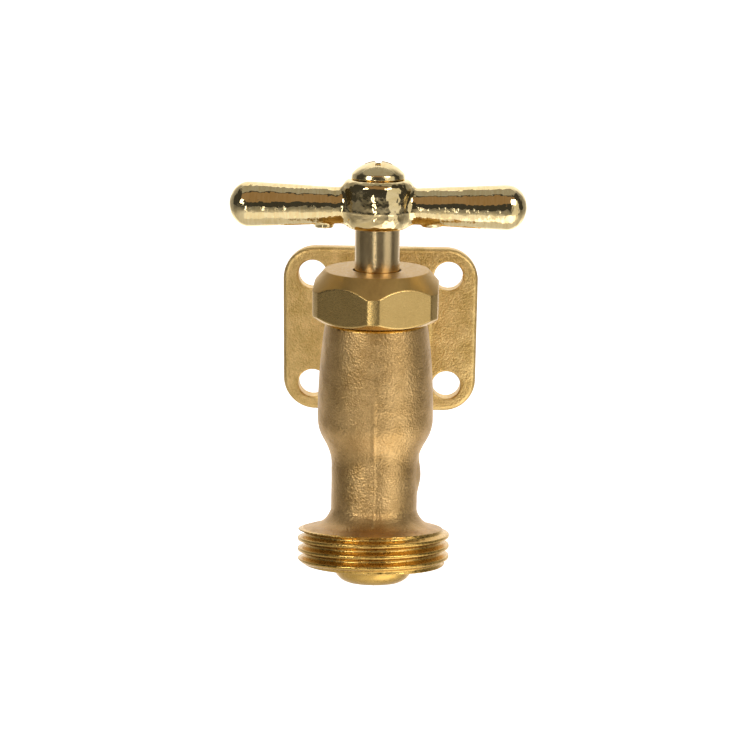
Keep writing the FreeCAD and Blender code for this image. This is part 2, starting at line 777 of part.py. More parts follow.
build_valve_body()
build_valve_seat()
build_packing_nut()
middle = "(packing_bottom + (packing_top - packing_bottom) / 2)"
build_ring("packing_washer", "ring_inner", "washer_outer", "neck_top + seat_fit", "packing_bottom")
build_ring("lower_packing", "packing_inner", "packing_outer", "packing_bottom + seat_fit", middle)
build_ring("upper_packing", "packing_inner", "packing_outer", middle + " + seat_fit", "packing_top")
build_ring("packing_gland", "ring_inner", "packing_outer", "packing_top + seat_fit",
           "nut_ceiling - seat_fit")
build_stem()
build_swivel_ring()
build_disc_holder()
build_seat_washer()
build_washer_screw()
build_tee_handle()
build_handle_screw()
doc.recompute()

for item in doc.Objects:
    if any(state in ("Invalid", "Error") for state in item.State):
        raise RuntimeError("%s did not build: %s" % (item.Name, item.State))

for item in doc.Objects:
    if item.TypeId == "PartDesign::Body":
        shape = item.Shape
        if shape.isNull() or not shape.isValid() or len(shape.Solids) != 1:
            raise RuntimeError("%s is not one sound solid" % item.Label)
        shape.exportStep("parts/%s.step" % item.Label)
        spread = shape.BoundBox
        print("%-15s volume %9.2f  x %.2f..%.2f  y %.2f..%.2f  z %.2f..%.2f" % (
            item.Label, shape.Volume, spread.XMin, spread.XMax, spread.YMin, spread.YMax,
            spread.ZMin, spread.ZMax))
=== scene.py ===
import json
import math

import bpy
import numpy as np
from mathutils import Matrix, Vector, noise


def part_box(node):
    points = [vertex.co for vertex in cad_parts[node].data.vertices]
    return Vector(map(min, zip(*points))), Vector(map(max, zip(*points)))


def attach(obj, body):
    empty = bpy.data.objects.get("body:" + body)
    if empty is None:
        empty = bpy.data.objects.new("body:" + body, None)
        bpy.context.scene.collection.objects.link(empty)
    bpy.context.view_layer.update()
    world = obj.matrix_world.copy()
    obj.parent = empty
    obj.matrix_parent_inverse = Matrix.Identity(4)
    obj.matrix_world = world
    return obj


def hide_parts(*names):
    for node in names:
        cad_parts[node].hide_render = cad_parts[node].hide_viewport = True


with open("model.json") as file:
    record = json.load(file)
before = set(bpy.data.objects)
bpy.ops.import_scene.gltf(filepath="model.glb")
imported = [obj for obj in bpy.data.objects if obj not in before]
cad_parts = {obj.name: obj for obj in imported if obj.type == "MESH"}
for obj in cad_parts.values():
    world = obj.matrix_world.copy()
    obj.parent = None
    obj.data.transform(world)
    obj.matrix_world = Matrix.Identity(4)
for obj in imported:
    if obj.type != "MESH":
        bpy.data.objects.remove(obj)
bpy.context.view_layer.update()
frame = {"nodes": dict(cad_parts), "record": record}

# A brass hose bib. Shapes are worked out in millimetres in the row frame: the flange's wall face
# is at y = 0, the stem is upright and the outlet leans forward. Each visible piece is a distance
# field, negative inside the metal, turned into a mesh, so that its cast corners come out soft.

MM = 0.001
LEFT = 1
RIGHT = -1
TILT = math.radians(12.4)
PIPE_PITCH = 1.814
PIPE_DEPTH = 1.162

seat_low, seat_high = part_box("valve_seat")
STEM_Y = (seat_low.y + seat_high.y) / 2 / MM
body_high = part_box("valve_body")[1]
FLANGE_HALF_WIDTH = body_high.x / MM
FLANGE_HALF_HEIGHT = body_high.z / MM
SPIGOT_END = body_high.y / MM
bolts = next(m for m in frame["record"]["mounts"] if m["name"] == "flange_bolts")
BOLT_X = bolts["dims"]["spacing_x_mm"] / 2
BOLT_Z = bolts["dims"]["spacing_y_mm"] / 2
BOLT_RADIUS = bolts["dims"]["hole_r_mm"]
NUT_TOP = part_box("packing_nut")[1].z / MM
CAP_HEIGHT = 3.05
CAP_GAP = 0.02
HUB_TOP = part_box("handle_screw")[1].z / MM - CAP_HEIGHT - CAP_GAP
ARM_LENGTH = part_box("tee_handle")[1].x / MM
ARM_LEVEL = 28.5
HUB_REACH = 6.3
BEND_Z = -8.4
OUTLET_END = 25.5


# ---------------------------------------------------------------- distance fields

def arc_points(start, end, radius, turn, count=14):
    """Points after start on the short arc to end, turning left or right."""
    start, end = np.array(start), np.array(end)
    chord = end - start
    length = np.hypot(*chord)
    normal = np.array([-chord[1], chord[0]]) / length
    centre = start + chord / 2 + normal * math.sqrt(radius ** 2 - length ** 2 / 4) * turn
    first = math.atan2(*(start - centre)[::-1])
    last = math.atan2(*(end - centre)[::-1])
    sweep = (last - first + math.pi) % (2 * math.pi) - math.pi
    angles = first + sweep * np.arange(1, count) / count
    return [tuple(centre + radius * np.array([math.cos(a), math.sin(a)])) for a in angles]


def outline(corners):
    """Points of an outline. A corner is (radius, along), then an arc's radius and turn if any."""
    points = []
    for corner, after in zip(corners, corners[1:] + corners[-1:]):
        points.append(corner[:2])
        if len(corner) == 4:
            points.extend(arc_points(corner[:2], after[:2], corner[2], corner[3]))
    return points


def outline_distance(points, across, up):
    """Signed distance from an open outline that starts and ends on the axis."""
    shape = np.broadcast(across, up).shape
    nearest = np.full(shape, 1e9)
    inside = np.zeros(shape, bool)
    for (ax, ay), (bx, by) in zip(points, points[1:] + points[:1]):
        dx, dy = bx - ax, by - ay
        if (ax, ay) != points[-1]:
            share = np.clip(((across - ax) * dx + (up - ay) * dy) / (dx * dx + dy * dy), 0, 1)
            gap = (across - ax - share * dx) ** 2 + (up - ay - share * dy) ** 2
            nearest = np.minimum(nearest, gap)
        if ay != by:
            crosses = (ay > up) != (by > up)
            inside ^= crosses & (across < ax + (up - ay) * dx / dy)
    return np.where(inside, -1, 1) * np.sqrt(nearest)


class Turned:
    """A turned solid, kept as a table of distances over radius and place along the axis."""

    def __init__(self, corners, margin=3.0, cell=0.05):
        points = outline(corners)
        places = np.array(points)
        self.cell = cell
        self.start = places[:, 1].min() - margin
        radii = np.arange(0, places[:, 0].max() + margin, cell)
        along = np.arange(self.start, places[:, 1].max() + margin, cell)
        self.table = outline_distance(points, radii[:, None], along[None, :]).astype(np.float32)

    def __call__(self, radius, along):
        rows, columns = self.table.shape
        row = np.clip(radius / self.cell, 0, rows - 1.001)
        column = np.clip((along - self.start) / self.cell, 0, columns - 1.001)
        i, j = row.astype(np.int32), column.astype(np.int32)
        u, v = row - i, column - j
        near = self.table[i, j] * (1 - v) + self.table[i, j + 1] * v
        far = self.table[i + 1, j] * (1 - v) + self.table[i + 1, j + 1] * v
        return near * (1 - u) + far * u


def join(a, b, blend):
    """Both solids, with a fillet about as wide as blend."""
    share = np.clip(0.5 + 0.5 * (b - a) / blend, 0, 1)
    return b * (1 - share) + a * share - blend * share * (1 - share)


def cut(a, b, blend=0.15):
    """The first solid less the second, with the edge eased."""
    return -join(-a, b, blend)


def common(a, b, blend=0.15):
    """What two solids share, with the edge eased."""
    return -join(-a, -b, blend)


def thread(radius, along, angle, crest, depth, pitch, phase):
    """A right-hand thread's own surface: along grows by one pitch each turn."""
    flat_share, slope_share = 0.72, 0.8
    turn = (along - phase) / pitch - angle / (2 * math.pi)
    wave = np.cos(2 * math.pi * turn)
    form = np.clip(wave * flat_share, -0.5, 0.5)
    return (radius - (crest - depth / 2 - form * depth)) * slope_share


def bar(radius, along, size, low, high):
    """A plain round bar."""
    return np.maximum(radius - size, np.maximum(low - along, along - high))


def square_bar(x, forward, z, half, low, high):
    """A plain upright square bar."""
    return np.maximum(np.maximum(np.abs(x), np.abs(forward)) - half,
                      np.maximum(low - z, z - high))


def ellipsoid(places, centre, sizes):
    """About the distance from an ellipsoid, and right at its surface."""
    across, forward, up = [((place - middle) / size) ** 2
                           for place, middle, size in zip(places, centre, sizes)]
    return (np.sqrt(across + forward + up) - 1) * min(sizes)


def ridge(place, width):
    """How far a parting line has risen at a place across it, from 0 to 1."""
    return np.exp(-(place / width) ** 2)


def mesh_from(field, low, step):
    """Surface net of a distance field: points in metres, and quads that face outwards."""
    inside = field < 0
    corners = [(a, b, c) for a in (0, 1) for b in (0, 1) for c in (0, 1)]
    span = [n - 1 for n in field.shape]

    def shifted(array, corner):
        return array[corner[0]:corner[0] + span[0], corner[1]:corner[1] + span[1],
                     corner[2]:corner[2] + span[2]]

    count = np.zeros(span, np.uint8)
    for corner in corners:
        count += shifted(inside, corner)
    active = (count > 0) & (count < 8)
    cells = np.argwhere(active)
    number = np.full(span, -1, np.int32)
    number[active] = np.arange(len(cells))
    total = np.zeros((len(cells), 3))
    hits = np.zeros(len(cells))
    units = np.eye(3, dtype=int)
    for axis in range(3):
        for corner in corners:
            if corner[axis]:
                continue
            near = cells + np.array(corner)
            far = near + units[axis]
            near_value = field[tuple(near.T)]
            far_value = field[tuple(far.T)]
            crossing = (near_value < 0) != (far_value < 0)
            share = near_value[crossing] / (near_value[crossing] - far_value[crossing])
            total[crossing] += near[crossing] + share[:, None] * units[axis]
            hits[crossing] += 1
    points = (np.array(low) + step * total / hits[:, None]) * MM
    quads = []
    for axis in range(3):
        first, second = (axis + 1) % 3, (axis + 2) % 3
        near = [slice(1, -1)] * 3
        near[axis] = slice(0, -1)
        far = list(near)
        far[axis] = slice(1, None)
        change = inside[tuple(near)] != inside[tuple(far)]
        place = np.argwhere(change) + np.array([0 if k == axis else 1 for k in range(3)])
        leaving = inside[tuple(place.T)]
        ring = [place - units[first] - units[second], place - units[second], place,
                place - units[first]]
        quad = np.stack([number[tuple(cell.T)] for cell in ring], axis=1)
        quad[~leaving] = quad[~leaving][:, ::-1]
        quads.append(quad)
    return points, np.concatenate(quads)


def sampled(distance, low, high, step):
    """A distance function's values over a box, worked out in slabs."""
    slab = 12
    axes = [np.arange(a - 2 * step, b + 2.5 * step, step, dtype=np.float32)
            for a, b in zip(low, high)]
    field = np.empty([len(axis) for axis in axes], np.float32)
    for start in range(0, len(axes[0]), slab):
        x = axes[0][start:start + slab, None, None]
        field[start:start + slab] = distance(x, axes[1][None, :, None], axes[2][None, None, :])
    return field, [axis[0] for axis in axes]


def settle(distance, points, step):
    """Move the points of a mesh onto the surface itself."""
    nudge = 0.04
    least_steepness = 0.3
    for _ in range(2):
        x, y, z = (points / MM).T
        slopes = []
        for axis in range(3):
            ahead, behind = [x, y, z], [x, y, z]
            ahead[axis] = ahead[axis] + nudge
            behind[axis] = behind[axis] - nudge
            slopes.append((distance(*ahead) - distance(*behind)) / (2 * nudge))
        slopes = np.array(slopes)
        steepness = np.maximum((slopes ** 2).sum(axis=0), least_steepness)
        move = np.clip(distance(x, y, z) / steepness, -step / 2, step / 2)
        points = points - (slopes * move).T * MM
    return points


def add_piece(name, distance, low, high, step, body, node, materials):
    """Mesh a distance function and let it stand for a CAD node."""
    field, start = sampled(distance, low, high, step)
    points, quads = mesh_from(field, start, step)
    points = settle(distance, points, step)
    mesh = bpy.data.meshes.new(name)
    mesh.vertices.add(len(points))
    mesh.vertices.foreach_set("co", points.astype(np.float32).ravel())
    mesh.loops.add(quads.size)
    mesh.loops.foreach_set("vertex_index", quads.astype(np.int32).ravel())
    mesh.polygons.add(len(quads))
    mesh.polygons.foreach_set("loop_start", np.arange(0, quads.size, 4, dtype=np.int32))
    mesh.polygons.foreach_set("loop_total", np.full(len(quads), 4, np.int32))
    mesh.update(calc_edges=True)
    mesh.validate()
    mesh.shade_smooth()
    piece = bpy.data.objects.new(name, mesh)
    bpy.context.scene.collection.objects.link(piece)
    for material in materials:
        mesh.materials.append(material)
    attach(piece, body)
    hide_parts(node)
    return piece


def relax(piece, strength, repeats, zone=""):
    """Take the last traces of the grid out of a smooth surface, or out of one zone of it."""
    smoothing = piece.modifiers.new("smoothing", "SMOOTH")
    smoothing.vertex_group = zone
    smoothing.factor = strength
    smoothing.iterations = repeats
    apply_modifiers(piece)


def apply_modifiers(piece):
    """Put the modifiers' result into the piece's own mesh."""
    graph = bpy.context.evaluated_depsgraph_get()
    result = bpy.data.meshes.new_from_object(piece.evaluated_get(graph))
    piece.modifiers.clear()
    old = piece.data
    piece.data = result
    bpy.data.meshes.remove(old)


# ---------------------------------------------------------------- materials

def add_node(tree, kind, inputs=None, **settings):
    """A shader node with its settings and unlinked inputs."""
    node = tree.nodes.new(kind)
    for setting, content in settings.items():
        setattr(node, setting, content)
    for socket, content in (inputs or {}).items():
        node.inputs[socket].default_value = content
    return node


def surface(name, dark, light, roughness, grain, grain_depth, mottle, wave_depth=0.0,
            stretch=(1, 1, 1), pits=0.0, pit_depth=0.0, metallic=1.0):
    """A surface whose colour, roughness and bump come from noise. Sizes are in millimetres.

    grain is the size of the fine noise, which stretch can draw out, and mottle that of the broad
    noise. Each has a bump depth. pits are the dimples of a cast skin."""
    material = bpy.data.materials.new(name)
    material.use_nodes = True
    tree = material.node_tree
    shader = tree.nodes["Principled BSDF"]
    shader.inputs["Metallic"].default_value = metallic
    place = add_node(tree, "ShaderNodeTexCoord")
    scaling = add_node(tree, "ShaderNodeMapping", {"Scale": stretch})
    tree.links.new(place.outputs["Object"], scaling.inputs["Vector"])

    fine = add_node(tree, "ShaderNodeTexNoise", {
        "Scale": 1 / (grain * MM), "Detail": 4.0, "Roughness": 0.6})
    broad = add_node(tree, "ShaderNodeTexNoise", {
        "Scale": 1 / (mottle * MM), "Detail": 3.0, "Roughness": 0.55})
    tree.links.new(scaling.outputs["Vector"], fine.inputs["Vector"])
    tree.links.new(place.outputs["Object"], broad.inputs["Vector"])
    blend = add_node(tree, "ShaderNodeMix", {"Factor": 0.55}, data_type="FLOAT")
    tree.links.new(broad.outputs["Fac"], blend.inputs["A"])
    tree.links.new(fine.outputs["Fac"], blend.inputs["B"])
    ramp = add_node(tree, "ShaderNodeValToRGB")
    ramp.color_ramp.elements[0].position = 0.38
    ramp.color_ramp.elements[0].color = (*dark, 1)
    ramp.color_ramp.elements[1].position = 0.62
    ramp.color_ramp.elements[1].color = (*light, 1)
    tree.links.new(blend.outputs["Result"], ramp.inputs["Fac"])
    tree.links.new(ramp.outputs["Color"], shader.inputs["Base Color"])

    gloss = add_node(tree, "ShaderNodeMapRange", {
        "From Min": 0.35, "From Max": 0.65,
        "To Min": roughness * 0.7, "To Max": roughness * 1.3})
    tree.links.new(fine.outputs["Fac"], gloss.inputs["Value"])
    tree.links.new(gloss.outputs["Result"], shader.inputs["Roughness"])

    heights = [(fine.outputs["Fac"], grain_depth)]
    if wave_depth:
        heights.append((broad.outputs["Fac"], wave_depth))
    if pits:
        cells = add_node(tree, "ShaderNodeTexVoronoi", {
            "Scale": 1 / (pits * MM), "Randomness": 1.0})
        tree.links.new(place.outputs["Object"], cells.inputs["Vector"])
        heights.append((cells.outputs["Distance"], pit_depth))
    normal = None
    for height, depth in heights:
        bump = add_node(tree, "ShaderNodeBump", {"Strength": 1.0, "Distance": depth * MM})
        tree.links.new(height, bump.inputs["Height"])
        if normal:
            tree.links.new(normal, bump.inputs["Normal"])
        normal = bump.outputs["Normal"]
    tree.links.new(normal, shader.inputs["Normal"])
    return material


cast = surface("cast_brass", (0.45, 0.27, 0.092), (0.74, 0.49, 0.21), roughness=0.42,
               grain=0.20, grain_depth=0.038, mottle=3.5, wave_depth=0.02,
               pits=0.37, pit_depth=0.065)
# The flange is the same cast brass as the body, painted lighter: painted light for the brighter
# light its flat face catches.
lit_flange_cast = surface("flange_brass_painted_lighter", (0.62, 0.405, 0.125), (0.94, 0.67, 0.28), roughness=0.43,
                      grain=0.20, grain_depth=0.038, mottle=3.0, wave_depth=0.008,
                      pits=0.38, pit_depth=0.052)
threaded = surface("threaded_brass", (0.56, 0.34, 0.08), (0.68, 0.43, 0.12), roughness=0.30,
                   grain=0.5, grain_depth=0.004, mottle=3.0)
milled = surface("milled_brass", (0.57, 0.38, 0.13), (0.65, 0.44, 0.16), roughness=0.26,
                 grain=0.5, grain_depth=0.005, mottle=4.0, stretch=(1, 1, 9))
nut_cone = surface("cone_brass", (0.50, 0.315, 0.10), (0.59, 0.385, 0.13), roughness=0.46,
                   grain=0.35, grain_depth=0.010, mottle=4.0)
turned = surface("turned_brass", (0.60, 0.43, 0.21), (0.72, 0.54, 0.28), roughness=0.19,
                 grain=0.5, grain_depth=0.014, mottle=4.0, stretch=(1, 1, 9))
polished = surface("polished_brass", (0.80, 0.61, 0.28), (0.93, 0.76, 0.42), roughness=0.06,
                   grain=0.9, grain_depth=0.022, mottle=4.0, wave_depth=0.30,
                   stretch=(2.2, 0.35, 0.35))
polished_hub = surface("polished_hub_brass", (0.80, 0.61, 0.28), (0.93, 0.75, 0.41),
                       roughness=0.06, grain=1.6, grain_depth=0.02, mottle=4.2, wave_depth=0.5,
                       stretch=(0.5, 0.5, 1.6))
polished_cap = surface("polished_cap_brass", (0.80, 0.61, 0.28), (0.93, 0.76, 0.42),
                       roughness=0.15, grain=0.9, grain_depth=0.008, mottle=4.0, wave_depth=0.06)
steel = surface("spring_steel", (0.45, 0.45, 0.45), (0.6, 0.6, 0.6), roughness=0.3,
                grain=0.4, grain_depth=0.004, mottle=3.0)
rubber = surface("rubber", (0.02, 0.02, 0.02), (0.04, 0.04, 0.04), roughness=0.6,
                 grain=0.2, grain_depth=0.02, mottle=2.0, metallic=0.0)
packing = surface("packing", (0.05, 0.05, 0.05), (0.12, 0.12, 0.13), roughness=0.7,
                  grain=0.3, grain_depth=0.06, mottle=1.2, metallic=0.0)


# ---------------------------------------------------------------- the cast body

# Lengths in millimetres. The fillets and eases say how far two surfaces blend.
HOSE_RADIUS = 13.22
HOSE_PHASE = -20.15 + PIPE_PITCH / 2
THREAD_EASE = 0.2
THREAD_TOP = -18.4
SPIGOT_RADIUS = 10.4775
SPIGOT_PHASE = 0.6
SPIGOT_SHANK = 1.6
BARREL_RADIUS = 9.0
BARREL_FILLET = 2.0
SUPPLY_RADIUS = 7.0
PASSAGE_RADIUS = 4.9
PASSAGE_DROP = 1.9
OUTLET_RADIUS = 4.0
CHAMBER_RADIUS = 6.9
PAD_CENTRE = (6.0, 0.8, -9.6)
PAD_SIZES = (2.0, 2.4, 3.6)
PAD_FILLET = 0.9
FLANGE_THICKNESS = 3.5
FLANGE_CORNER = 6.2
FLANGE_EDGE = 0.9
FLANGE_FILLET = 1.4
BOLT_EASE = 0.3
SEAM_HEIGHT = 0.15
SEAM_WIDTH = 0.30
SEAM_REACH = 11
SEAM_TOP = 16.5
SEAM_FOOT = -18.0

# Where the skin changes: radii, and places along y or along the body's two axes.
BARREL_MIDDLE = -20
CHAMBER_SKIN = 7.1
FLANGE_SKIN = -4.0
WALL_FACE = -0.3
NOSE_TURNED = -19.2
NOSE_REACH = 14
NECK_TURNED = 16.9
SWELL_DEPTH, SWELL_DENSITY = 0.03, 500
SKIN_DEPTH, SKIN_DENSITY = 0.022, 2400

TRUNK = Turned([
    (0, -28.55),
    (4.35, -28.55, 3.2, LEFT),
    (6.9, -25.9),
    (6.9, -OUTLET_END),
    (12.06, -OUTLET_END),
    (13.2, -24.5),
    (HOSE_RADIUS, -19.45),
    (10.9, -18.8, 3.9, RIGHT),
    (7.45, -15.9),
    (7.45, -8.4, 8.0, RIGHT),
    (8.52, -4.4),
    (9.04, -3.5, 7.0, LEFT),
    (10.0, 0, 112.0, LEFT),
    (8.72, 17.0),
    (8.42, 17.3),
    (7.3, 17.3),
    (7.3, 21.3),
    (0, 21.3),
])
CHAMBER = Turned([(0, -5.7), (4.3, -5.7), (5.25, -3.7), (5.25, -1.0), (CHAMBER_RADIUS, -1.0),
                  (CHAMBER_RADIUS, 10.8), (6.4, 11.6), (6.4, 22.5), (0, 22.5)])
SPIGOT = Turned([(0, -1), (SPIGOT_RADIUS, -1), (SPIGOT_RADIUS, SPIGOT_END - 1.1),
                 (9.3, SPIGOT_END), (0, SPIGOT_END)])


def trunk_places(x, y, z):
    """Radius and height about the upright axis and the leaning one, and which of them rules."""
    forward = y - STEM_Y
    up = z - BEND_Z
    lean_up = up * math.cos(TILT) + forward * math.sin(TILT)
    lean_forward = forward * math.cos(TILT) - up * math.sin(TILT)
    middle = up * math.cos(TILT / 2) + forward * math.sin(TILT / 2)
    upright = np.clip(0.5 + middle / 5, 0, 1)
    return forward, up, lean_forward, lean_up, upright


def body_distance(x, y, z):
    """The casting with its machined ends."""
    forward, up, lean_forward, lean_up, upright = trunk_places(x, y, z)
    round_up = np.hypot(x, forward)
    round_lean = np.hypot(x, lean_forward)
    trunk = (TRUNK(round_up, up + 0 * x) * upright
             + TRUNK(round_lean, lean_up + 0 * x) * (1 - upright))
    pad = ellipsoid((x, lean_forward, lean_up), PAD_CENTRE, PAD_SIZES)
    trunk = join(trunk, pad, PAD_FILLET)
    seam = ridge(x, SEAM_WIDTH) * SEAM_HEIGHT
    on_seam = (round_lean < SEAM_REACH) * (up < SEAM_TOP) * (lean_up > SEAM_FOOT)
    trunk = trunk - seam * on_seam

    round_flow = np.hypot(x, z)
    barrel = bar(round_flow, y, BARREL_RADIUS, low=STEM_Y + 5, high=-1)
    metal = join(trunk, barrel - seam, BARREL_FILLET)

    side = np.abs(x) - (FLANGE_HALF_WIDTH - FLANGE_CORNER)
    rise = np.abs(z) - (FLANGE_HALF_HEIGHT - FLANGE_CORNER)
    face = (np.hypot(np.maximum(side, 0), np.maximum(rise, 0))
            + np.minimum(np.maximum(side, rise), 0) - FLANGE_CORNER)
    half = FLANGE_THICKNESS / 2
    out, depth = face + FLANGE_EDGE, np.abs(y + half) - (half - FLANGE_EDGE)
    flange = (np.minimum(np.maximum(out, depth), 0)
              + np.hypot(np.maximum(out, 0), np.maximum(depth, 0)) - FLANGE_EDGE)
    metal = join(metal, flange, FLANGE_FILLET)

    angle = np.arctan2(lean_forward, x)
    hose = thread(round_lean, lean_up, angle, HOSE_RADIUS, PIPE_DEPTH, PIPE_PITCH, HOSE_PHASE)
    metal = np.where(lean_up < THREAD_TOP, common(metal, hose, THREAD_EASE), metal)

    spigot = SPIGOT(round_flow, y + 0 * x)
    supply = thread(round_flow, y, np.arctan2(x, z), SPIGOT_RADIUS, PIPE_DEPTH, PIPE_PITCH,
                    SPIGOT_PHASE)
    spigot = np.where(y > SPIGOT_SHANK, common(spigot, supply, THREAD_EASE), spigot)
    metal = np.minimum(metal, spigot)

    round_bolt = np.hypot(np.abs(x) - BOLT_X, np.abs(z) - BOLT_Z)
    metal = cut(metal, bar(round_bolt, y, BOLT_RADIUS, low=-6, high=4), BOLT_EASE)
    metal = cut(metal, bar(round_flow, y, SUPPLY_RADIUS, low=-2.5, high=20))
    round_passage = np.hypot(x, z + PASSAGE_DROP)
    metal = cut(metal, bar(round_passage, y, PASSAGE_RADIUS, low=STEM_Y, high=0))
    metal = cut(metal, CHAMBER(round_up, up + 0 * x))
    return cut(metal, bar(round_lean, -lean_up, OUTLET_RADIUS, low=3.7, high=40))


def finish_body(piece):
    """Sand-cast unevenness, and a machined finish on the threads, the nose and the bores."""
    mesh = piece.data
    count = len(mesh.vertices)
    places = np.empty(count * 3, np.float32)
    normals = np.empty(count * 3, np.float32)
    mesh.vertices.foreach_get("co", places)
    mesh.vertices.foreach_get("normal", normals)
    places = places.reshape(-1, 3).astype(float)
    normals = normals.reshape(-1, 3)
    x, y, z = places.T / MM
    forward, up, lean_forward, lean_up, _ = trunk_places(x, y, z)
    round_lean = np.hypot(x, lean_forward)
    before_barrel = y < BARREL_MIDDLE
    supply = (np.hypot(x, z) < SUPPLY_RADIUS + 0.3) & (y > -3.5)
    chamber = (np.hypot(x, forward) < CHAMBER_SKIN) & (up > -6)
    inner = supply | (round_lean < OUTLET_RADIUS + 0.4) | chamber
    nose = (lean_up < NOSE_TURNED) & (round_lean < NOSE_REACH) & before_barrel
    neck = (up > NECK_TURNED) & before_barrel
    machined = nose | (y > WALL_FACE) | inner | neck
    holes = np.hypot(np.abs(x) - BOLT_X, np.abs(z) - BOLT_Z) < BOLT_RADIUS + 0.25
    on_flange = y > FLANGE_SKIN
    flange = on_flange & ~machined

    rough = np.array([
        SWELL_DEPTH * noise.noise(Vector(place * SWELL_DENSITY))
        + SKIN_DEPTH * noise.noise(Vector(place * SKIN_DENSITY)) for place in places])
    rough = np.where(on_flange, 0.5, 1.0) * rough
    places += normals * (rough * ~(machined | holes) * MM)[:, None]
    mesh.vertices.foreach_set("co", places.astype(np.float32).ravel())

    # The flange's faces take the lighter copy of the cast brass, which is painted light; the
    # flange's grain and smoother skin are its own.
    slots = {"cast": 0, "flange": 1, "machined": 2}
    kind = np.where(machined, slots["machined"], np.where(flange, slots["flange"], slots["cast"]))
    corners = np.empty(len(mesh.loops), np.int32)
    mesh.loops.foreach_get("vertex_index", corners)
    first_corners = corners.reshape(-1, 4)[:, 0]
    mesh.polygons.foreach_set("material_index", kind[first_corners].astype(np.int32))
    mesh.update()
    turned_zone = piece.vertex_groups.new(name="turned_zone")
    turned_zone.add(np.flatnonzero(machined).tolist(), 1.0, "REPLACE")
    relax(piece, 0.5, 3, "turned_zone")


body = add_piece("cast_body", body_distance, (-18.6, -54.0, -37.6), (18.6, 13.6, 15.9), 0.2,
                 "valve", "valve_body", [cast, lit_flange_cast, threaded])
finish_body(body)


# ---------------------------------------------------------------- packing nut

NUT_TURN = math.radians(-2.0)
CONE_SLOPE = 0.3
NUT_HALF_FLATS = 10.5
NUT_EASE = 0.12
NUT_OUTSIDE = Turned([(0, 9.4), (10.35, 9.4), (11.55, 10.4), (11.55, 14.65), (8.9, NUT_TOP),
                      (0, NUT_TOP)])
NUT_INSIDE = Turned([(0, 8.4), (8.6, 8.4), (7.6, 10.1), (7.6, 13.5), (6.65, 13.5), (6.65, 16.4),
                     (4.1, 16.4), (4.1, 19.0), (0, 19.0)])


def nut_distance(x, y, z):
    """A hexagon with a corner to the front, turned outside and bored inside."""
    forward = y - STEM_Y
    flats = -100.0
    for index in range(3):
        angle = NUT_TURN + index * math.pi / 3
        flats = np.maximum(flats, np.abs(x * math.cos(angle) + forward * math.sin(angle)))
    radius = np.hypot(x, forward)
    turned_outside = NUT_OUTSIDE(radius, z + 0 * radius)
    outside = common(flats - NUT_HALF_FLATS + 0 * z, turned_outside, NUT_EASE)
    return cut(outside, NUT_INSIDE(radius, z + 0 * radius), NUT_EASE)


nut = add_piece("hexagon_nut", nut_distance, (-12, STEM_Y - 12, 9.2), (12, STEM_Y + 12, 17.9),
                0.12, "valve", "packing_nut", [milled, nut_cone])
for face in nut.data.polygons:
    face.material_index = int(face.normal.z > CONE_SLOPE)


# ---------------------------------------------------------------- stem

LIFT_RADIUS = 6.2
LIFT_DEPTH = 0.95
LIFT_PITCH = 2.0
SHAFT_RADIUS = 3.8
SQUARE_FOOT = 24
SHAFT = Turned([(0, -3.4), (2.1, -3.4), (2.4, -3.1), (2.4, -2.25), (1.9, -2.25), (1.9, -1.45),
                (2.4, -1.45), (2.4, 1.0), (LIFT_RADIUS - LIFT_DEPTH, 1.0), (LIFT_RADIUS, 1.8),
                (LIFT_RADIUS, 6.9), (LIFT_RADIUS - LIFT_DEPTH, 7.5), (SHAFT_RADIUS, 8.0),
                (SHAFT_RADIUS, 25.4), (0, 25.4)])


def stem_distance(x, y, z):
    """Shaft with its lifting thread, and a square end in the handle."""
    forward = y - STEM_Y
    radius = np.hypot(x, forward)
    shaft = SHAFT(radius, z + 0 * radius)
    lift = thread(radius, z, np.arctan2(forward, x), LIFT_RADIUS, LIFT_DEPTH, LIFT_PITCH, 0.0)
    shaft = np.where((z > 0.6) & (z < 7.8), common(shaft, lift, 0.15), shaft)
    square = square_bar(x, forward, z, half=2.6, low=SQUARE_FOOT, high=31.4)
    stem = join(shaft, square, 0.1)
    return cut(stem, bar(radius, z, size=1.55, low=26.5, high=33))


stem = add_piece("turned_stem", stem_distance, (-6.4, STEM_Y - 6.4, -3.5),
                 (6.4, STEM_Y + 6.4, 31.5), 0.15, "spindle", "stem", [turned])
relax(stem, 0.4, 2)


# ---------------------------------------------------------------- tee handle and its screw

ARM_FILLET = 0.9
EJECTOR_MARKS = ((-9.0, 3.75), (9.0, 3.4))
MARK_RADIUS = 1.6
MARK_FILLET = 0.3
HUB_SEAM_LEVEL = 27.8
HUB_SEAM_WIDTH = 0.15
HUB_SEAM_HEIGHT = 0.06
RECESS_HALF_LENGTH = 2.2
RECESS_HALF_WIDTH = 0.45
RECESS_DEPTH = 1.1
RECESS_EASE = 0.35
HUB = Turned([(0, 24.8), (4.7, 24.8, 1.7, LEFT), (5.6, 25.9, 14.0, LEFT), (6.0, 29.4, 24.0, LEFT),
              (5.88, 32.0, 1.5, LEFT), (4.95, HUB_TOP), (0, HUB_TOP)])
ARM_END = [(3.8 * math.sin(turn), 21.6 + 3.35 * math.cos(turn))
           for turn in np.linspace(0.15, math.pi / 2, 12)]
ARMS = Turned([(0, -ARM_LENGTH)] + [(radius, -along) for radius, along in ARM_END]
              + [(3.0, -5.0), (3.0, 5.0)] + ARM_END[::-1] + [(0, ARM_LENGTH)])
SCREW = Turned([(0, 27.2), (1.3, 27.2), (1.5, 27.6), (1.5, HUB_TOP + CAP_GAP),
                (4.35, HUB_TOP + CAP_GAP), (4.55, HUB_TOP + 0.22),
                (4.42, HUB_TOP + 0.95, 5.9, LEFT), (0, HUB_TOP + CAP_HEIGHT)])


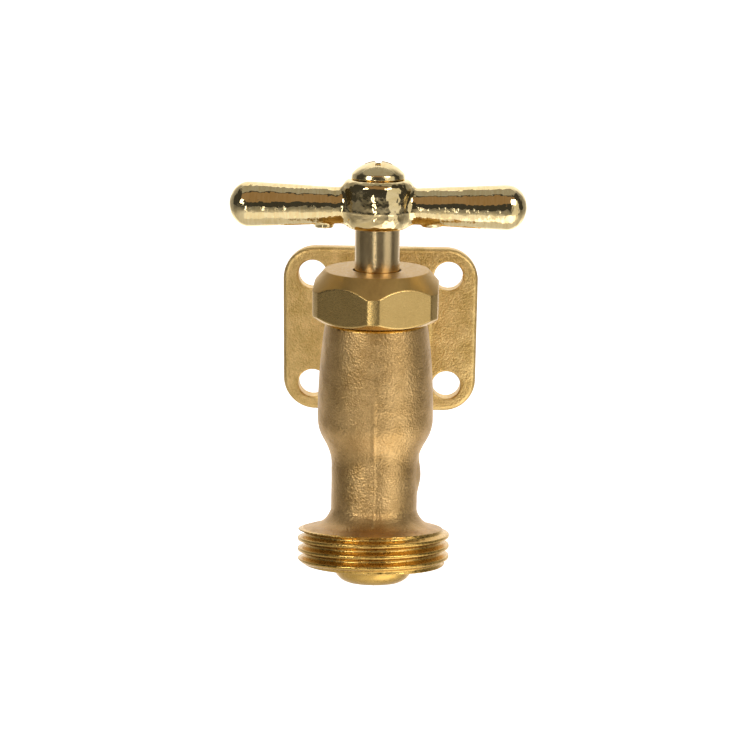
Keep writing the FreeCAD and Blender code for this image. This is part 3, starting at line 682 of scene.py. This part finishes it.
def handle_distance(x, y, z):
    """Barrel hub and two tapered arms cast in one, with the marks of the ejector pins."""
    forward = y - STEM_Y
    radius = np.hypot(x, forward)
    hub = HUB(radius, z + 0 * radius)
    arms = ARMS(np.hypot(forward, z - ARM_LEVEL), x + 0 * z + 0 * forward)
    metal = join(hub, arms, ARM_FILLET)
    for side, drop in EJECTOR_MARKS:
        round_mark = np.hypot(x - side, forward)
        mark = bar(round_mark, z, MARK_RADIUS, low=ARM_LEVEL - drop, high=ARM_LEVEL)
        metal = join(metal, mark, MARK_FILLET)
    seam = ridge(z - HUB_SEAM_LEVEL, HUB_SEAM_WIDTH) * HUB_SEAM_HEIGHT * (radius < 7)
    metal = metal - seam
    metal = cut(metal, bar(radius, z, size=3.86, low=23, high=25.42))
    metal = cut(metal, square_bar(x, forward, z, half=2.63, low=SQUARE_FOOT, high=31.5))
    return cut(metal, bar(radius, z, size=1.7, low=24, high=36))


def screw_distance(x, y, z):
    """Domed head with a shallow cross recess, and its shank."""
    forward = y - STEM_Y
    radius = np.hypot(x, forward)
    screw = SCREW(radius, z + 0 * radius)
    recess = 100.0
    for along, across in ((x, forward), (forward, x)):
        slot = np.maximum(np.abs(along) - RECESS_HALF_LENGTH, np.abs(across) - RECESS_HALF_WIDTH)
        recess = np.minimum(recess, slot)
    recess = np.maximum(recess, HUB_TOP + CAP_HEIGHT - RECESS_DEPTH - z)
    return cut(screw, recess, RECESS_EASE)


handle = add_piece("polished_handle", handle_distance, (-25.1, STEM_Y - 6.6, 24.4),
                   (25.1, STEM_Y + 6.6, 34.0), 0.16, "spindle", "tee_handle",
                   [polished])
relax(handle, 0.5, 4)
handle.data.materials.append(polished_hub)
for face in handle.data.polygons:
    face.material_index = int(abs(face.center.x) < HUB_REACH * MM)
screw = add_piece("domed_screw", screw_distance, (-4.8, STEM_Y - 4.8, 27.0),
                  (4.8, STEM_Y + 4.8, 36.1), 0.11, "spindle", "handle_screw",
                  [polished_cap])
relax(screw, 0.5, 2)


# ---------------------------------------------------------------- pieces that keep their CAD shape

KEPT = {
    "valve_seat": turned, "packing_washer": turned, "packing_gland": turned, "disc_holder": turned,
    "washer_screw": turned, "swivel_ring": steel, "seat_washer": rubber, "lower_packing": packing,
    "upper_packing": packing,
}
for node, material in KEPT.items():
    mesh = frame["nodes"][node].data
    mesh.materials.clear()
    mesh.materials.append(material)


# ---------------------------------------------------------------- studio

def add_sweep():
    """A pale floor that curves up behind the object and glows there."""
    floor_z, front_y, back_y, top_z = -0.30, -3.0, 0.75, 1.6
    bend, half = 0.35, 3.0
    path = [(front_y, floor_z)]
    path += [(back_y - bend + bend * math.sin(turn), floor_z + bend - bend * math.cos(turn))
             for turn in np.linspace(0, math.pi / 2, 24)]
    path.append((back_y, top_z))
    points = [(x, y, z) for y, z in path for x in (-half, half)]
    faces = [(2 * i, 2 * i + 1, 2 * i + 3, 2 * i + 2) for i in range(len(path) - 1)]
    mesh = bpy.data.meshes.new("pale_floor")
    mesh.from_pydata(points, [], faces)
    mesh.shade_smooth()
    floor = bpy.data.objects.new("pale_floor", mesh)
    bpy.context.scene.collection.objects.link(floor)
    material = bpy.data.materials.new("pale_paper")
    material.use_nodes = True
    tree = material.node_tree
    shader = tree.nodes["Principled BSDF"]
    shader.inputs["Base Color"].default_value = (0.8, 0.8, 0.8, 1)
    shader.inputs["Roughness"].default_value = 0.9
    shader.inputs["Specular IOR Level"].default_value = 0.0
    shader.inputs["Emission Color"].default_value = (1, 1, 1, 1)
    place = add_node(tree, "ShaderNodeTexCoord")
    split = add_node(tree, "ShaderNodeSeparateXYZ")
    behind = add_node(tree, "ShaderNodeMapRange", {
        "From Min": 0.18, "From Max": 0.35, "To Min": 0.16, "To Max": 0.95},
        interpolation_type="SMOOTHSTEP")
    aside = add_node(tree, "ShaderNodeMath", operation="ABSOLUTE")
    middle = add_node(tree, "ShaderNodeMapRange", {
        "From Min": 0.36, "From Max": 0.8, "To Min": 1.0, "To Max": 0.2},
        interpolation_type="SMOOTHSTEP")
    glow = add_node(tree, "ShaderNodeMath", operation="MULTIPLY")
    tree.links.new(place.outputs["Object"], split.inputs["Vector"])
    tree.links.new(split.outputs["Y"], behind.inputs["Value"])
    tree.links.new(split.outputs["X"], aside.inputs[0])
    tree.links.new(aside.outputs["Value"], middle.inputs["Value"])
    tree.links.new(behind.outputs["Result"], glow.inputs[0])
    tree.links.new(middle.outputs["Result"], glow.inputs[1])
    tree.links.new(glow.outputs["Value"], shader.inputs["Emission Strength"])
    mesh.materials.append(material)


def add_softbox(name, place, aim, size, radiance, tint=(1, 1, 1)):
    """A soft rectangular light that points at a spot."""
    light = bpy.data.lights.new(name, "AREA")
    light.shape = "RECTANGLE"
    light.size, light.size_y = size
    light.energy = radiance * math.pi * size[0] * size[1]
    light.color = tint
    lamp = bpy.data.objects.new(name, light)
    lamp.location = place
    lamp.rotation_euler = (Vector(aim) - Vector(place)).to_track_quat("-Z", "Y").to_euler()
    bpy.context.scene.collection.objects.link(lamp)


def add_surroundings():
    """A dim room to reflect, which shows as plain pale paper past the edges of the floor."""
    world = bpy.data.worlds.new("studio")
    world.use_nodes = True
    tree = world.node_tree
    seen = add_node(tree, "ShaderNodeLightPath")
    tone = add_node(tree, "ShaderNodeMapRange", {"To Min": 0.05, "To Max": 0.75})
    tree.links.new(seen.outputs["Is Camera Ray"], tone.inputs["Value"])
    tree.links.new(tone.outputs["Result"], tree.nodes["Background"].inputs["Color"])
    bpy.context.scene.world = world


def add_camera():
    """A long lens a little above the object and in front of it."""
    azimuth, elevation, roll = math.radians(1.25), math.radians(14.3), math.radians(0.68)
    distance = 0.2585
    target = Vector((-0.00014, STEM_Y * MM, -0.00076))
    back = Vector((math.sin(azimuth) * math.cos(elevation),
                   -math.cos(azimuth) * math.cos(elevation), math.sin(elevation)))
    data = bpy.data.cameras.new("camera")
    data.sensor_width = 36.0
    data.lens = 72.0
    data.clip_start = 0.01
    camera = bpy.data.objects.new("camera", data)
    turn = (-back).to_track_quat("-Z", "Y").to_matrix().to_4x4() @ Matrix.Rotation(roll, 4, "Z")
    camera.matrix_world = Matrix.Translation(target + back * distance) @ turn
    bpy.context.scene.collection.objects.link(camera)
    bpy.context.scene.camera = camera


add_sweep()
# Each softbox has its place, aim and size in metres, then its radiance and any tint.
centre = (0, STEM_Y * MM, 0)
add_softbox("right", (0.49, -0.38, 0.06), centre, (0.42, 0.60), 0.70)
add_softbox("key", (0.44, -0.48, 0.36), centre, (0.30, 0.30), 5.8)
add_softbox("strip", (-0.38, -0.50, 0.23), centre, (0.20, 0.20), 9.0)
add_softbox("sliver", (-0.12, -0.58, -0.10), centre, (0.05, 0.20), 4.4)
add_softbox("left", (-0.52, -0.32, -0.08), centre, (0.25, 0.25), 0.05)
add_softbox("top", (0.0, 0.05, 0.60), centre, (0.80, 0.50), 0.32)
add_softbox("brow", (0.0, -0.64, 0.65), centre, (1.40, 0.76), 0.26, (1.0, 0.64, 0.33))
add_softbox("low", (0.30, -0.30, -0.28), (0.30, -0.30, 0), (0.90, 0.36), 0.30)
add_softbox("near", (0.075, -0.11, -0.10), (0.012, 0, 0), (0.12, 0.12), 1.15)
add_surroundings()
bpy.context.scene.view_settings.view_transform = "Standard"
add_camera()
